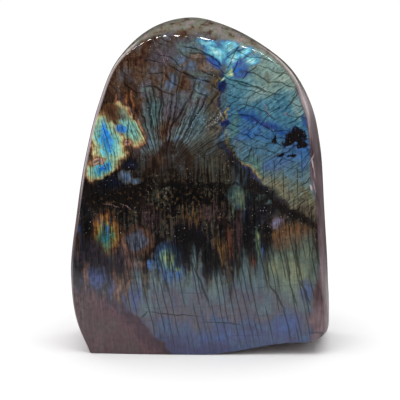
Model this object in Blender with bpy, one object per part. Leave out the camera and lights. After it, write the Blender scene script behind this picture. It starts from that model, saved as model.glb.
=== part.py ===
"""A labradorite monolith: one stone, ground all round, polished, and sawn flat
underneath so that it stands on its own.

+Z is up and the polished show face looks along -Y. The origin is at the middle
of the bounding box's underside. Sizes here are in millimetres, and the finished
mesh is in metres.
"""

import math

import bmesh
import bpy
import numpy as np
from mathutils import Vector, noise

# The outline seen from the front, from the left base corner over the top to the
# right base corner. Each row has x and z, then how far the front edge is rounded
# in, how far the rim slopes in from back to front, and how far the back edge is
# rounded in.
OUTLINE = (
    (-54.0, 0.0, 1.8, 0.2, 5.0),
    (-59.8, 13.0, 2.2, 0.4, 6.0),
    (-63.3, 35.0, 2.4, 0.6, 7.0),
    (-60.4, 66.0, 2.4, 0.6, 7.0),
    (-55.4, 96.0, 2.4, 0.6, 7.0),
    (-49.2, 118.8, 2.4, 0.4, 6.5),
    (-39.0, 140.6, 2.4, 0.2, 6.5),
    (-22.5, 154.8, 4.6, 2.2, 7.0),
    (-4.6, 159.7, 5.4, 6.4, 7.5),
    (12.0, 155.2, 5.4, 4.6, 7.5),
    (29.0, 145.3, 4.2, 0.6, 7.0),
    (44.6, 132.4, 3.6, 2.0, 6.5),
    (54.4, 115.7, 3.2, 5.4, 7.0),
    (59.4, 95.9, 3.0, 7.6, 7.5),
    (61.9, 66.0, 3.0, 6.8, 8.0),
    (64.4, 29.0, 3.0, 6.4, 8.0),
    (64.6, 14.0, 2.8, 5.0, 7.5),
    (63.3, 5.8, 2.6, 3.6, 7.0),
    (58.6, 1.4, 2.4, 2.6, 6.5),
    (52.6, 0.0, 2.2, 1.8, 6.0),
)
LEFT_SHOULDER = 6
RIGHT_SHOULDER = 11

# The stone seen from its side: height, and where the show face and the back lie.
SIDE_VIEW = (
    (0.0, -29.0, 26.0),
    (40.0, -25.9, 28.0),
    (80.0, -22.5, 26.5),
    (120.0, -19.0, 21.5),
    (160.0, -15.5, 14.0),
)

# Depths are shares of the way from the show face to the back.
ROUNDING_REACH = 1.7
SLOPE_CURVE = 1.6
SPINE_TOP = 95.0
FACE_CROWN = 0.9
BACK_CROWN = 5.0

# The saw missed a natural hollow under the front right of the base.
HOLLOW_RISE = 6.0
HOLLOW_FROM_X = -1.0
HOLLOW_FULL_X = 46.0
HOLLOW_FULL_DEPTH = 7.0
HOLLOW_END_DEPTH = 27.0
HOLLOW_FADE_HEIGHT = 30.0

# Flats that the grinding wheel left: a point on each, its outward direction, and
# how softly it meets the rest. The first is the show face's lower left corner.
FLATS = (
    ((-39.0, -28.0, 15.5), (-0.076, -0.99, -0.038), 0.8),
    ((-30.0, 27.0, 60.0), (-0.42, 0.90, 0.08), 1.6),
    ((34.0, 27.5, 44.0), (0.38, 0.92, -0.06), 1.6),
    ((4.0, 23.5, 112.0), (0.05, 0.95, 0.30), 1.6),
)

# Flakes knocked off the right edge of the show face: centre, half sizes, depth.
FLAKES = (
    ((55.0, -18.5, 86.0), (6.5, 10.0, 10.5), 1.3),
    ((49.0, -15.5, 122.0), (6.0, 9.0, 7.0), 0.8),
)
FLAKE_INWARD = Vector((-0.6, 0.8, 0.0))

SWELL_LENGTH = 38.0
SWELL_FRONT = 0.25
SWELL_BACK = 0.9
SWELL_FADE_HEIGHT = 12.0
SWELL_SEED = Vector((3.7, 11.2, 5.1))

CELLS_ACROSS = 30
CELLS_DEEP = 16
CELLS_UP = 36
SPAN_STEPS = 24
SAWN_EDGE_BEVEL = 0.4
SAWN_EDGE_ANGLE = math.radians(35)
SHARP_EDGE = math.radians(40)
MM = 0.001

STONE_COLOUR = (0.085, 0.105, 0.125, 1.0)
STONE_ROUGHNESS = 0.12


def smoothstep(low, high, value):
    """0 below low, 1 above high, and a smooth rise between them."""
    share = min(max((value - low) / (high - low), 0.0), 1.0)
    return share * share * (3.0 - 2.0 * share)


def smooth_rows(rows, steps):
    """Dense rows on a cubic through the given ones, steps to a span."""
    rows = np.array(rows)
    spans = np.linalg.norm(np.diff(rows[:, :2], axis=0), axis=1)[:, None]
    slopes = np.diff(rows, axis=0) / spans
    inner = (slopes[:-1] * spans[1:] + slopes[1:] * spans[:-1]) / (spans[1:] + spans[:-1])
    tangents = np.vstack((slopes[:1], inner, slopes[-1:]))
    t = np.linspace(0.0, 1.0, steps + 1)[1:, None]
    dense = [rows[:1]]
    for i, span in enumerate(spans):
        dense.append(
            rows[i] * (2 * t**3 - 3 * t**2 + 1)
            + tangents[i] * span * (t**3 - 2 * t**2 + t)
            + rows[i + 1] * (3 * t**2 - 2 * t**3)
            + tangents[i + 1] * span * (t**3 - t**2)
        )
    return np.vstack(dense)


SIDE_ROWS = smooth_rows(SIDE_VIEW, SPAN_STEPS)
RIM_ROWS = smooth_rows(OUTLINE, SPAN_STEPS)
RIM_STEPS = np.linalg.norm(np.diff(RIM_ROWS[:, :2], axis=0), axis=1)
RIM_LENGTHS = np.concatenate(([0.0], np.cumsum(RIM_STEPS)))
LEFT_END = RIM_LENGTHS[LEFT_SHOULDER * SPAN_STEPS]
RIGHT_END = RIM_LENGTHS[RIGHT_SHOULDER * SPAN_STEPS]


def face_and_back(z):
    """Where the show face and the back lie at a height."""
    heights, faces, backs = SIDE_ROWS.T
    return np.interp(z, heights, faces), np.interp(z, heights, backs)


def rim_row(u, w):
    """The outline's row at a point on the left, top or right edge of a square."""
    if w == 1.0:
        along = LEFT_END + (RIGHT_END - LEFT_END) * (u + 1) / 2
    elif u < 0:
        along = LEFT_END * (w + 1) / 2
    else:
        along = RIM_LENGTHS[-1] + (RIGHT_END - RIM_LENGTHS[-1]) * (w + 1) / 2
    return [np.interp(along, RIM_LENGTHS, column) for column in RIM_ROWS.T]


def rounding(amount, away, thickness):
    """How far a rounded edge lies in from its side, at a distance from its end."""
    reach = ROUNDING_REACH * amount / thickness
    left = max(1.0 - away / reach, 0.0)
    return amount * (1.0 - math.sqrt(1.0 - left * left))


def rim_point(u, w, depth):
    """x and z where the stone's outside passes a depth, on an edge of the square."""
    if w == -1.0:
        left, right = rim_point(-1.0, -0.999999, depth), rim_point(1.0, -0.999999, depth)
        return left + (right - left) * (u + 1) / 2
    x, z, front_round, slope, back_round = rim_row(u, w)
    face, back = face_and_back(z)
    drawn_in = slope * (1.0 - depth) ** SLOPE_CURVE
    drawn_in += rounding(front_round, depth, back - face)
    drawn_in += rounding(back_round, 1.0 - depth, back - face)
    inward = np.array((-x, min(z, SPINE_TOP) - z))
    return np.array((x, z)) + inward / np.linalg.norm(inward) * drawn_in


def patch(edge, s, t):
    """A point inside four edges, from a function that gives the edges' points."""
    share_s, share_t = (s + 1) / 2, (t + 1) / 2
    across = edge(-1.0, t) * (1 - share_s) + edge(1.0, t) * share_s
    along = edge(s, -1.0) * (1 - share_t) + edge(s, 1.0) * share_t
    low = edge(-1.0, -1.0) * (1 - share_s) + edge(1.0, -1.0) * share_s
    high = edge(-1.0, 1.0) * (1 - share_s) + edge(1.0, 1.0) * share_s
    return across + along - low * (1 - share_t) - high * share_t


def blank_point(u, v, w):
    """A point of the rounded blank, for a point on the surface of a cube."""
    depth = 0.5 - 0.5 * math.cos(math.pi * (v + 1) / 2)
    if abs(u) == 1.0 or abs(w) == 1.0:
        x, z = rim_point(u, w, depth)
    else:
        x, z = patch(lambda s, t: rim_point(s, t, depth), u, w)
    face, back = face_and_back(z)
    y = face + (back - face) * depth
    crown = BACK_CROWN if v == 1.0 else -FACE_CROWN if v == -1.0 else 0.0
    return Vector((x, y + crown * (1 - u * u) * (1 - w * w), z))


def grind_flats(point):
    """Takes the stone down to its flats, with a soft edge round each."""
    for through, direction, softness in FLATS:
        outward = Vector(direction).normalized()
        proud = (point - Vector(through)).dot(outward)
        point -= outward * softness * math.log1p(math.exp(min(proud / softness, 30.0)))


def knock_off_flakes(point):
    """Dishes the edge where flakes came away."""
    for centre, half_sizes, depth in FLAKES:
        offset = point - Vector(centre)
        away = sum((o / h) ** 2 for o, h in zip(offset, half_sizes))
        point += FLAKE_INWARD * depth * max(1.0 - away, 0.0)


def add_swell(point):
    """Slow natural unevenness, faint on the show face and none at the base."""
    face, back = face_and_back(point.z)
    back_share = smoothstep(0.1, 0.7, (point.y - face) / (back - face))
    size = SWELL_FRONT + (SWELL_BACK - SWELL_FRONT) * back_share
    size *= smoothstep(0.0, SWELL_FADE_HEIGHT, point.z)
    point.y += size * noise.noise(point / SWELL_LENGTH + SWELL_SEED)


def lift_over_hollow(point):
    """Lifts the underside at the front right, and squeezes the stone above it."""
    face, _ = face_and_back(0.0)
    rise = HOLLOW_RISE * smoothstep(HOLLOW_FROM_X, HOLLOW_FULL_X, point.x)
    rise *= 1.0 - smoothstep(HOLLOW_FULL_DEPTH, HOLLOW_END_DEPTH, point.y - face)
    point.z += rise * max(1.0 - point.z / HOLLOW_FADE_HEIGHT, 0.0)


def ground_point(u, v, w):
    """A point of the ground stone, still without its hollow."""
    if w == -1.0 and abs(u) < 1.0 and abs(v) < 1.0:
        return patch(lambda s, t: ground_point(s, t, -1.0), u, v)
    point = blank_point(u, v, w)
    grind_flats(point)
    knock_off_flakes(point)
    add_swell(point)
    if w == -1.0:
        point.z = 0.0
    return point


def loop_cuts(bm, axis, cells):
    """Cuts every edge that runs along an axis into equal cells."""
    along = [e for e in bm.edges if abs(e.verts[0].co[axis] - e.verts[1].co[axis]) > 0.5]
    bmesh.ops.subdivide_edges(bm, edges=along, cuts=cells - 1, use_grid_fill=True)


def is_sawn_edge(edge):
    """Whether an edge of the cube runs round its underside."""
    a, b = (vert.co for vert in edge.verts)
    at_base = a.z < -0.999 and b.z < -0.999
    on_side = any(abs(a[i]) > 0.999 and abs(a[i] - b[i]) < 0.001 for i in (0, 1))
    return at_base and on_side


def stand_on_origin(bm):
    """Moves the underside's middle to the origin, and turns millimetres to metres."""
    points = [vert.co for vert in bm.verts]
    low, high = (Vector([end(p[i] for p in points) for i in range(3)]) for end in (min, max))
    middle = Vector(((low.x + high.x) / 2, (low.y + high.y) / 2, low.z))
    bmesh.ops.translate(bm, verts=bm.verts, vec=-middle)
    bmesh.ops.scale(bm, verts=bm.verts, vec=(MM, MM, MM))


def stone_mesh():
    """A cube cut into cells and shaped as the stone, with its sawn edge eased."""
    bm = bmesh.new()
    bmesh.ops.create_cube(bm, size=2.0)
    for axis, cells in enumerate((CELLS_ACROSS, CELLS_DEEP, CELLS_UP)):
        loop_cuts(bm, axis, cells)
    sawn_edges = [edge for edge in bm.edges if is_sawn_edge(edge)]
    for vert in bm.verts:
        vert.co = ground_point(*(round(c, 5) for c in vert.co))
        lift_over_hollow(vert.co)
    bm.normal_update()
    bmesh.ops.bevel(
        bm,
        geom=[edge for edge in sawn_edges if edge.calc_face_angle() > SAWN_EDGE_ANGLE],
        affect="EDGES",
        offset=SAWN_EDGE_BEVEL,
        segments=2,
        profile=0.5,
        material=-1,
    )
    stand_on_origin(bm)
    mesh = bpy.data.meshes.new("stone")
    bm.to_mesh(mesh)
    bm.free()
    return mesh


def polished_labradorite():
    """The stone's average colour under its polish."""
    material = bpy.data.materials.new("polished_labradorite")
    material.use_nodes = True
    shader = material.node_tree.nodes["Principled BSDF"]
    shader.inputs["Base Color"].default_value = STONE_COLOUR
    shader.inputs["Roughness"].default_value = STONE_ROUGHNESS
    shader.inputs["Metallic"].default_value = 0.0
    return material


def main():
    for obj in list(bpy.data.objects):
        bpy.data.objects.remove(obj)
    mesh = stone_mesh()
    mesh.materials.append(polished_labradorite())
    mesh.shade_smooth()
    mesh.set_sharp_from_angle(angle=SHARP_EDGE)
    stone = bpy.data.objects.new("stone", mesh)
    bpy.context.scene.collection.objects.link(stone)


main()
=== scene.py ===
import math

import bmesh
import bpy
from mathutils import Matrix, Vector, noise


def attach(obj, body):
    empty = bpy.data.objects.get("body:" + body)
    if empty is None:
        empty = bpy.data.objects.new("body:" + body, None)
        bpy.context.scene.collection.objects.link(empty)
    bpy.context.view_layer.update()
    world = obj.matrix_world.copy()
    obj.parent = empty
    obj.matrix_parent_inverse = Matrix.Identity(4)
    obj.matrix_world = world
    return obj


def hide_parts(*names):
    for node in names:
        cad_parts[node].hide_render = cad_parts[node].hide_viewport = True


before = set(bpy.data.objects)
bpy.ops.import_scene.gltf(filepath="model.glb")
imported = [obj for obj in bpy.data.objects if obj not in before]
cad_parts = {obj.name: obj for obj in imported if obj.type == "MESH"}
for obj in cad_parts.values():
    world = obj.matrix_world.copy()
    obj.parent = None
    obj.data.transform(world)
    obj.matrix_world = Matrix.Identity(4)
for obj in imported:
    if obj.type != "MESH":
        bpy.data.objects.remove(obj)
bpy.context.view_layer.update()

# The stone: one piece of labradorite, ground to shape on a wheel and polished all
# round. The polish follows slow waves that the wheel left. The top edge of the
# back is rougher, and the hollow under the front right is bare broken stone.
MM = 0.001
WAVE_LENGTH = 13.0
WAVE_DEPTH = 0.05
BACK_WAVE_LENGTH = 22.0
BACK_WAVE_DEPTH = 0.22
NOTCH_LENGTH = 3.4
NOTCH_DEPTH = 0.9
NOTCH_HEIGHTS = (118.0, 133.0)
BREAK_LENGTH = 2.6
BREAK_DEPTH = 0.3
BREAK_HEIGHTS = (0.4, 1.5)
FOOT_HEIGHTS = (0.5, 4.0)
FACES_FRONT = (0.55, 0.9)
FACES_REAR = (0.1, 0.5)
FACES_UP = (0.0, 0.35)
FACES_DOWN = (0.4, 0.8)
SMOOTHING_LEVELS = 2
SAME_POINT = 1e-5
FLAT_ENOUGH = math.radians(40)


def share(value, ends):
    """0 below the first end, 1 above the other, and a smooth rise between them."""
    low, high = ends
    part = min(max((value - low) / (high - low), 0.0), 1.0)
    return part * part * (3.0 - 2.0 * part)


def wavy(point, length, seed):
    """Smooth unevenness between 0 and 1 whose swells are about a length across."""
    return 0.5 + 0.5 * noise.noise(point / length + Vector((seed, seed * 1.7, -seed)))


def relief(point, normal):
    """How far below the smooth shape the surface lies here, in millimetres."""
    front = share(-normal.y, FACES_FRONT)
    wheel = WAVE_DEPTH * wavy(point, WAVE_LENGTH, seed=2.0)
    wheel += (1.0 - front) * BACK_WAVE_DEPTH * wavy(point, BACK_WAVE_LENGTH, seed=7.0)
    rear_rim = share(normal.y, FACES_REAR) * share(normal.z, FACES_UP)
    rear_rim *= share(point.z, NOTCH_HEIGHTS)
    notch = NOTCH_DEPTH * rear_rim * wavy(point, NOTCH_LENGTH, seed=4.0) ** 2
    hollow = share(-normal.z, FACES_DOWN) * share(point.z, BREAK_HEIGHTS)
    broken = BREAK_DEPTH * hollow * wavy(point, BREAK_LENGTH, seed=9.0)
    return wheel * share(point.z, FOOT_HEIGHTS) + notch + broken


def polished_stone_mesh(solid):
    """The solid's faces joined, smoothed by subdivision, and given their relief."""
    bm = bmesh.new()
    bm.from_mesh(solid.data)
    bmesh.ops.remove_doubles(bm, verts=bm.verts, dist=SAME_POINT)
    bmesh.ops.join_triangles(
        bm,
        faces=bm.faces,
        angle_face_threshold=FLAT_ENOUGH,
        angle_shape_threshold=FLAT_ENOUGH,
    )
    coarse = bpy.data.meshes.new("coarse")
    bm.to_mesh(coarse)
    bm.free()
    carrier = bpy.data.objects.new("carrier", coarse)
    bpy.context.scene.collection.objects.link(carrier)
    rounding = carrier.modifiers.new("rounding", "SUBSURF")
    rounding.levels = SMOOTHING_LEVELS
    rounding.render_levels = SMOOTHING_LEVELS
    seen = carrier.evaluated_get(bpy.context.evaluated_depsgraph_get())
    fine = bpy.data.meshes.new_from_object(seen)
    bpy.data.objects.remove(carrier)
    bpy.data.meshes.remove(coarse)
    bm = bmesh.new()
    bm.from_mesh(fine)
    bm.normal_update()
    sunk = [v.co - v.normal * MM * relief(v.co / MM, v.normal) for v in bm.verts]
    for vert, place in zip(bm.verts, sunk):
        vert.co = place
    bm.to_mesh(fine)
    bm.free()
    fine.name = "labradorite"
    fine.materials.clear()
    fine.shade_smooth()
    return fine


stone = bpy.data.objects.new("labradorite", polished_stone_mesh(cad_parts["stone"]))
bpy.context.scene.collection.objects.link(stone)
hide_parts("stone")
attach(stone, "root")


# The stone's finish: dark feldspar under a polish. Thin layers within it throw back
# blue, green and gold, and its cleavage shows as fibres. The face is painted as it
# is seen from straight in front, with places and sizes in millimetres.
class Wire:
    """One output in the node tree that is being drawn. Arithmetic on it adds Math nodes."""

    tree = None

    def __init__(self, socket):
        self.socket = socket

    @classmethod
    def node(cls, kind, settings, inputs, output=0):
        """Adds a node: its settings first, then the values or wires of its sockets."""
        made = cls.tree.nodes.new(kind)
        for name, value in settings.items():
            if name == "stops":
                elements = made.color_ramp.elements
                while len(elements) < len(value):
                    elements.new(1.0)
                elements.foreach_set("position", [position for position, _ in value])
                elements.foreach_set("color", [part for _, colour in value for part in colour])
            else:
                setattr(made, name, value)
        for name, value in inputs.items():
            if isinstance(value, Wire):
                cls.tree.links.new(value.socket, made.inputs[name])
            else:
                made.inputs[name].default_value = value
        return cls(made.outputs[output])

    @classmethod
    def math(cls, operation, *values):
        """Adds a Math node."""
        return cls.node("ShaderNodeMath", {"operation": operation}, dict(enumerate(values)))

    def __add__(self, other):
        return self.math("ADD", self, other)

    __radd__ = __add__

    def __sub__(self, other):
        return self.math("SUBTRACT", self, other)

    def __rsub__(self, other):
        return self.math("SUBTRACT", other, self)

    def __mul__(self, other):
        return self.math("MULTIPLY", self, other)

    __rmul__ = __mul__

    def ease(self, low, high, top=1.0):
        """0 at low, 1 or the given top at high, and a smooth rise between them."""
        return self.node(
            "ShaderNodeMapRange",
            {"interpolation_type": "SMOOTHSTEP", "clamp": False},
            {"Value": self, "From Min": low, "From Max": high, "To Max": top},
        )


X_AXIS = (1.0, 0.0, 0.0)
Y_AXIS = (0.0, 1.0, 0.0)
Z_AXIS = (0.0, 0.0, 1.0)
RIGHT_THROUGH = 1000.0
SEED_X = 0.317
SEED_Z = -0.173


def vector(operation, *values, output=0):
    """Adds a Vector Math node."""
    return Wire.node("ShaderNodeVectorMath", {"operation": operation}, dict(enumerate(values)), output)


def along(place, direction):
    """How far a place lies along a direction."""
    return vector("DOT_PRODUCT", place, direction, output="Value")


def noise_texture(place, detail=2.0, output="Fac"):
    """Noise whose swells are one unit of the place across."""
    return Wire.node(
        "ShaderNodeTexNoise",
        {},
        {"Vector": place, "Scale": 1.0, "Detail": detail},
        output,
    )


def grain(width, length, seed, turn=0.0, detail=2.0, output="Fac"):
    """Noise on the face, drawn out along a direction: its sizes in millimetres.

    It is the same right through the stone, from the face to the back.
    """
    stretched = Wire.node(
        "ShaderNodeMapping",
        {"vector_type": "TEXTURE"},
        {
            "Vector": on_stone,
            "Location": (SEED_X * seed, 0.0, SEED_Z * seed),
            "Rotation": (0.0, -math.radians(turn), 0.0),
            "Scale": (width * MM, RIGHT_THROUGH, length * MM),
        },
    )
    return noise_texture(stretched, detail, output)


polish = bpy.data.materials.new("labradorite_polish")
polish.use_nodes = True
Wire.tree = polish.node_tree
on_stone = Wire.node("ShaderNodeTexCoord", {}, {}, "Object")
outward = Wire.node("ShaderNodeTexCoord", {}, {}, "Normal")
clouds = grain(11.0, 13.0, seed=5.0, detail=5.0)
mottle = grain(1.7, 2.2, seed=15.0, detail=3.0)
grit = grain(0.65, 0.75, seed=13.0, detail=1.0)
upright_fibres = grain(0.75, 13.0, seed=1.0, turn=4.0, detail=3.0)
slant_fibres = grain(8.0, 0.8, seed=2.0, turn=32.0, detail=3.0)
lanes = grain(1.3, 20.0, seed=12.0, turn=2.0, detail=4.0)
bands = grain(2.6, 60.0, seed=4.0, turn=3.0, detail=3.0)
swirl = grain(6.0, 6.0, seed=8.0, detail=6.0, output="Color")
licks = grain(1.5, 40.0, seed=9.0, output="Color")
cloudy = clouds - 0.5
mottled = mottle - 0.5
banded = bands - 0.5
gritty = grit - 0.5
back = along(outward, Y_AXIS)
up = along(outward, Z_AXIS)

# Natural edges: none of the stone's patches has a drawn outline. Loose edges wander,
# torn ones are ragged, drifting ones bend a little, and flames lick up and down
# along the cleavage.
LOOSE_REACH = 7.0
TORN_REACH = 10.0
DRIFT_REACH = 3.0
FLAME_WIDTH = 1.6
FLAME_REACH = 20.0


def stirred(place, stirring, across, upright):
    """A place that noise moves, by up to half of each distance either way."""
    middle = vector("SUBTRACT", place, (across / 2, 0.0, upright / 2))
    return vector("MULTIPLY_ADD", stirring, (across, 0.0, upright), middle)


def both_ways(place):
    """A place, and the same turned a quarter, which turned ellipses need."""
    return place, vector("CROSS_PRODUCT", place, Y_AXIS)


flat = vector("MULTIPLY", on_stone, (1.0 / MM, 0.0, 1.0 / MM))
face = both_ways(flat)
loose_place = stirred(flat, swirl, LOOSE_REACH, LOOSE_REACH)
loose = both_ways(loose_place)
torn = both_ways(stirred(flat, swirl, TORN_REACH, TORN_REACH))
flame_place = stirred(loose_place, licks, FLAME_WIDTH, FLAME_REACH)
flame = both_ways(flame_place)
drift = both_ways(stirred(flat, swirl, DRIFT_REACH, DRIFT_REACH))
x = along(loose_place, X_AXIS)
z = along(loose_place, Z_AXIS)
flame_z = along(flame_place, Z_AXIS)

# The fan: above the middle of the left half, the cleavage opens like a fan. Its ribs
# spread from one point under its foot.
FAN_FOCUS_X = -19.0
FAN_FOCUS_Z = 85.0
FAN_RADIUS = 28.0
FAN = ((-11.0, 112.0, 24.0, 20.0),)
RIBS_ROUND = 0.85
RIBS_OUTWARD = 0.03


def squares(place, rows):
    """The least squared distance to any ellipse's middle, where 1 is its outline.

    A row is a centre's x and z, half the length and the width, and the turn, if any.
    """
    nearest = None
    for centre_x, centre_z, half_length, half_width, *turn in rows:
        angle = math.radians(turn[0]) if turn else 0.0
        cos = math.cos(angle)
        sin = math.sin(angle)
        offset = (
            -(centre_x * cos + centre_z * sin) / half_length,
            0.0,
            (centre_x * sin - centre_z * cos) / half_width,
        )
        if sin:
            aside = (-sin / half_length, 0.0, -sin / half_width)
            offset = vector("MULTIPLY_ADD", place[1], aside, offset)
        scale = (cos / half_length, 0.0, cos / half_width)
        seen = vector("MULTIPLY_ADD", place[0], scale, offset)
        away = vector("DOT_PRODUCT", seen, seen, output="Value")
        nearest = away if nearest is None else Wire.math("MINIMUM", nearest, away)
    return nearest


def pockets(place, rows, soft, strength=1.0):
    """A mask of ellipses on the face, with soft edges."""
    return squares(place, rows).ease((1.0 + soft) ** 2, (1.0 - soft) ** 2, strength)


def line_noise(value, detail=1.0):
    """Noise that changes with a single value, about once in each unit of it."""
    return Wire.node(
        "ShaderNodeTexNoise",
        {"noise_dimensions": "1D"},
        {"W": value, "Scale": 1.0, "Detail": detail},
        "Fac",
    )


fan_x = along(drift[0], X_AXIS) - FAN_FOCUS_X
fan_z = along(drift[0], Z_AXIS) - FAN_FOCUS_Z
fan_angle = Wire.math("ARCTAN2", fan_z, fan_x) * FAN_RADIUS
fan_reach = Wire.math("SQRT", fan_x * fan_x + fan_z * fan_z)
in_fan = pockets(loose, FAN, 0.3)
fan_fibres = line_noise(fan_angle * RIBS_ROUND + fan_reach * RIBS_OUTWARD, 4.0) * 0.5 + 0.25

# The fibres: they run upright but in the fan, where they follow its ribs, and on the
# shoulder, the field right of the seam and above a slanting edge, where they run
# aslant. At the top they are hardly seen.
SEAM_X = 10.5
SLANT_X = 0.683
SLANT_Z = 0.730
SLANT_REACH = 79.4
CORNER_ROUND = 5.0
SHOULDER_FADE = (-0.5, 0.8)
QUIET_HEIGHTS = (112.0, 124.0)
QUIET_SIDE = (-36.0, -24.0)
QUIET_FIBRES = 0.48
shoulder_edge = Wire.math(
    "SMOOTH_MIN", x - SEAM_X, x * SLANT_X + z * SLANT_Z - SLANT_REACH, CORNER_ROUND
)
on_shoulder = shoulder_edge.ease(*SHOULDER_FADE)
off_shoulder = 1.0 - on_shoulder
quiet_top = z.ease(*QUIET_HEIGHTS) * x.ease(*QUIET_SIDE)
fibres = upright_fibres + (QUIET_FIBRES - upright_fibres) * quiet_top * 0.85
fibres = fibres + (fan_fibres - fibres) * in_fan
fibres = fibres + (slant_fibres - fibres) * on_shoulder
rag = (0.5 - fibres) * 2.0 - mottled * 1.2
half_rag = rag * 0.5
woven = fibres.ease(0.34, 0.62, 0.45) + 0.55

# The upper left: rust-brown at the edge, then violet, green and blue greys. Below
# it lies the belt, a band of dark upright streaks across the middle.
BROWN = ((0.0, (36, 22, 14)), (0.4, (46, 31, 21)), (0.75, (62, 44, 32, 0.0)))
BLACK = ((0.0, (17, 12, 11)), (0.4, (22, 16, 14)), (0.7, (40, 28, 22, 0.0)))
SMOKE = ((0.0, (62, 62, 52)), (0.35, (56, 50, 40)), (0.7, (44, 36, 28, 0.0)))
BLUE_GREY = (
    (0.0, (92, 112, 142)), (0.35, (82, 100, 122)), (0.55, (84, 86, 88)), (0.8, (70, 62, 54, 0.0)),
)
UMBER = (
    (0.0, (70, 62, 84)), (0.22, (140, 120, 104)), (0.45, (104, 78, 56)), (0.75, (60, 44, 34, 0.0)),
)
VIOLET = ((0.0, (92, 86, 100)), (0.4, (82, 80, 88)), (0.9, (78, 80, 78, 0.0)))
TEAL_GREY = ((0.0, (78, 108, 114)), (0.35, (74, 96, 96)), (0.9, (72, 78, 72, 0.0)))
RUST = ((0.0, (168, 104, 60)), (0.35, (122, 76, 48)), (0.8, (64, 40, 28, 0.0)))
BELT_TOP = (96.0, 85.0)
BELT_RIGHT = (17.0, 10.0)
FAN_FOOT_BROWN = (42, 28, 20)
FAN_FOOT = ((-17.0, 103.0, 18.0, 13.0),)
BLUE_GRIT = (104, 124, 150)
BLUE_GRIT_PATCH = ((-1.5, 113.0, 6.0, 4.5, 40.0),)
SMOKE_AND_BROWN = (
    (loose, SMOKE, 1.0, ((3.0, 92.5, 10.0, 8.0), (8.0, 84.0, 8.0, 5.0))),
    (flame, BROWN, 1.0, ((-34.5, 122.0, 3.0, 10.0), (-41.0, 117.0, 4.0, 9.0))),
    (flame, BROWN, 0.75, ((-17.0, 89.0, 12.0, 5.0), (-30.0, 93.0, 5.0, 5.0))),
)
FAN_ROOTS = ((torn, BROWN, 1.0, ((-9.0, 95.0, 2.8, 6.0, 20.0), (-17.0, 98.0, 5.0, 2.6, 20.0))),)
BLACK_ROOTS = (
    (torn, BLACK, 0.9, ((-43.0, 76.0, 15.0, 6.5), (-50.0, 60.0, 4.0, 13.0))),
    (flame, BLACK, 0.85, ((-34.0, 66.0, 12.0, 6.0), (-37.0, 89.5, 6.0, 2.6))),
)
UPPER_LEFT = (
    (loose, BLUE_GREY, 0.85, (
        (-10.5, 139.8, 3.2, 2.2, 10.0), (-5.7, 135.6, 4.0, 2.0), (0.0, 129.6, 4.4, 1.6, -10.0),
    )),
    (loose, BLUE_GREY, 0.85, ((2.0, 123.6, 3.0, 2.2), (-14.5, 128.6, 2.2, 3.6, -20.0))),
    (loose, UMBER, 0.85, (
        (-3.4, 140.6, 2.4, 1.8), (2.6, 135.0, 4.6, 2.0, -14.0), (-8.4, 137.2, 1.6, 1.0, 30.0),
    )),
    (loose, VIOLET, 0.85, (
        (-13.6, 116.8, 5.5, 4.0, 50.0), (-19.0, 141.0, 5.0, 5.0), (8.4, 134.0, 2.0, 1.5),
    )),
    (loose, TEAL_GREY, 0.85, ((-1.4, 110.5, 6.5, 3.4, 50.0), (-23.5, 115.0, 3.4, 8.0))),
    (flame, RUST, 0.85, (
        (-36.0, 120.0, 0.9, 5.0), (-33.0, 118.0, 0.8, 6.0), (-40.0, 119.0, 0.8, 5.0),
    )),
)
MIX_FACTOR = 0
MIX_UNDER = 6
MIX_OVER = 7
MIX_RESULT = 2


def tone(red, green, blue, cover=1.0):
    """A colour from how bright it looks, out of 255, and how much it covers."""
    parts = []
    for seen in (red, green, blue):
        parts.append(((seen / 255 + 0.055) / 1.055) ** 2.4 if seen > 10 else seen / 3295)
    return (*parts, cover)


def colours(value, stops, strength=1.0):
    """A colour that follows a value, from stops: a position, and a tone's numbers.

    The strength scales how much each stop's colour covers.
    """
    toned = []
    for position, colour in stops:
        *parts, cover = tone(*colour)
        toned.append((position, (*parts, cover * strength)))
    return Wire.node("ShaderNodeValToRGB", {"stops": toned}, {"Fac": value})


def paint(under, over, mask):
    """One colour over another."""
    return Wire.node(
        "ShaderNodeMix",
        {"data_type": "RGBA"},
        {MIX_FACTOR: mask, MIX_UNDER: under, MIX_OVER: over},
        MIX_RESULT,
    )


def pool(under, place, rows, fringes, ragged, through=1.0, strength=1.0):
    """A pool whose fringes change from its middle, 0, past its ellipse's outline, 0.5.

    It shows less where the mask that it is seen through is low.
    """
    distance = Wire.math("SQRT", squares(place, rows) + ragged) * 0.5
    ramp = colours(distance, fringes, strength)
    cover = Wire(ramp.socket.node.outputs["Alpha"])
    return paint(under, ramp, cover * through)


def pools(under, listed, ragged, through=1.0):
    """Pools laid one over another: each one's place, fringes, strength and ellipses."""
    for place, fringes, strength, rows in listed:
        under = pool(under, place, rows, fringes, ragged, through, strength)
    return under


skin = colours(
    cloudy * 1.7 + mottled * 0.3 + x * 0.009 - z * 0.004 + 1.12,
    (
        (0.10, (34, 20, 15)), (0.24, (68, 42, 29)), (0.36, (86, 64, 50)),
        (0.44, (84, 74, 68)), (0.52, (92, 86, 96)), (0.60, (88, 98, 92)),
        (0.70, (98, 114, 118)), (0.80, (96, 120, 136)), (0.92, (66, 62, 60)),
    ),
)
belt_colours = colours(
    lanes * 0.6 + 0.19 + mottled * 0.8 + cloudy * 0.8,
    (
        (0.36, (4, 3, 4)), (0.45, (16, 10, 9)), (0.50, (38, 26, 19)), (0.55, (38, 38, 32)),
        (0.59, (60, 56, 44)), (0.64, (46, 58, 54)), (0.71, (84, 64, 40)), (0.78, (112, 92, 60)),
    ),
)
skin = paint(skin, belt_colours, flame_z.ease(*BELT_TOP) * x.ease(*BELT_RIGHT))
foot = pockets(loose, FAN_FOOT, 0.7)
skin = paint(skin, tone(*FAN_FOOT_BROWN), foot * fan_fibres.ease(0.55, 0.44) * 0.8)
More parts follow.
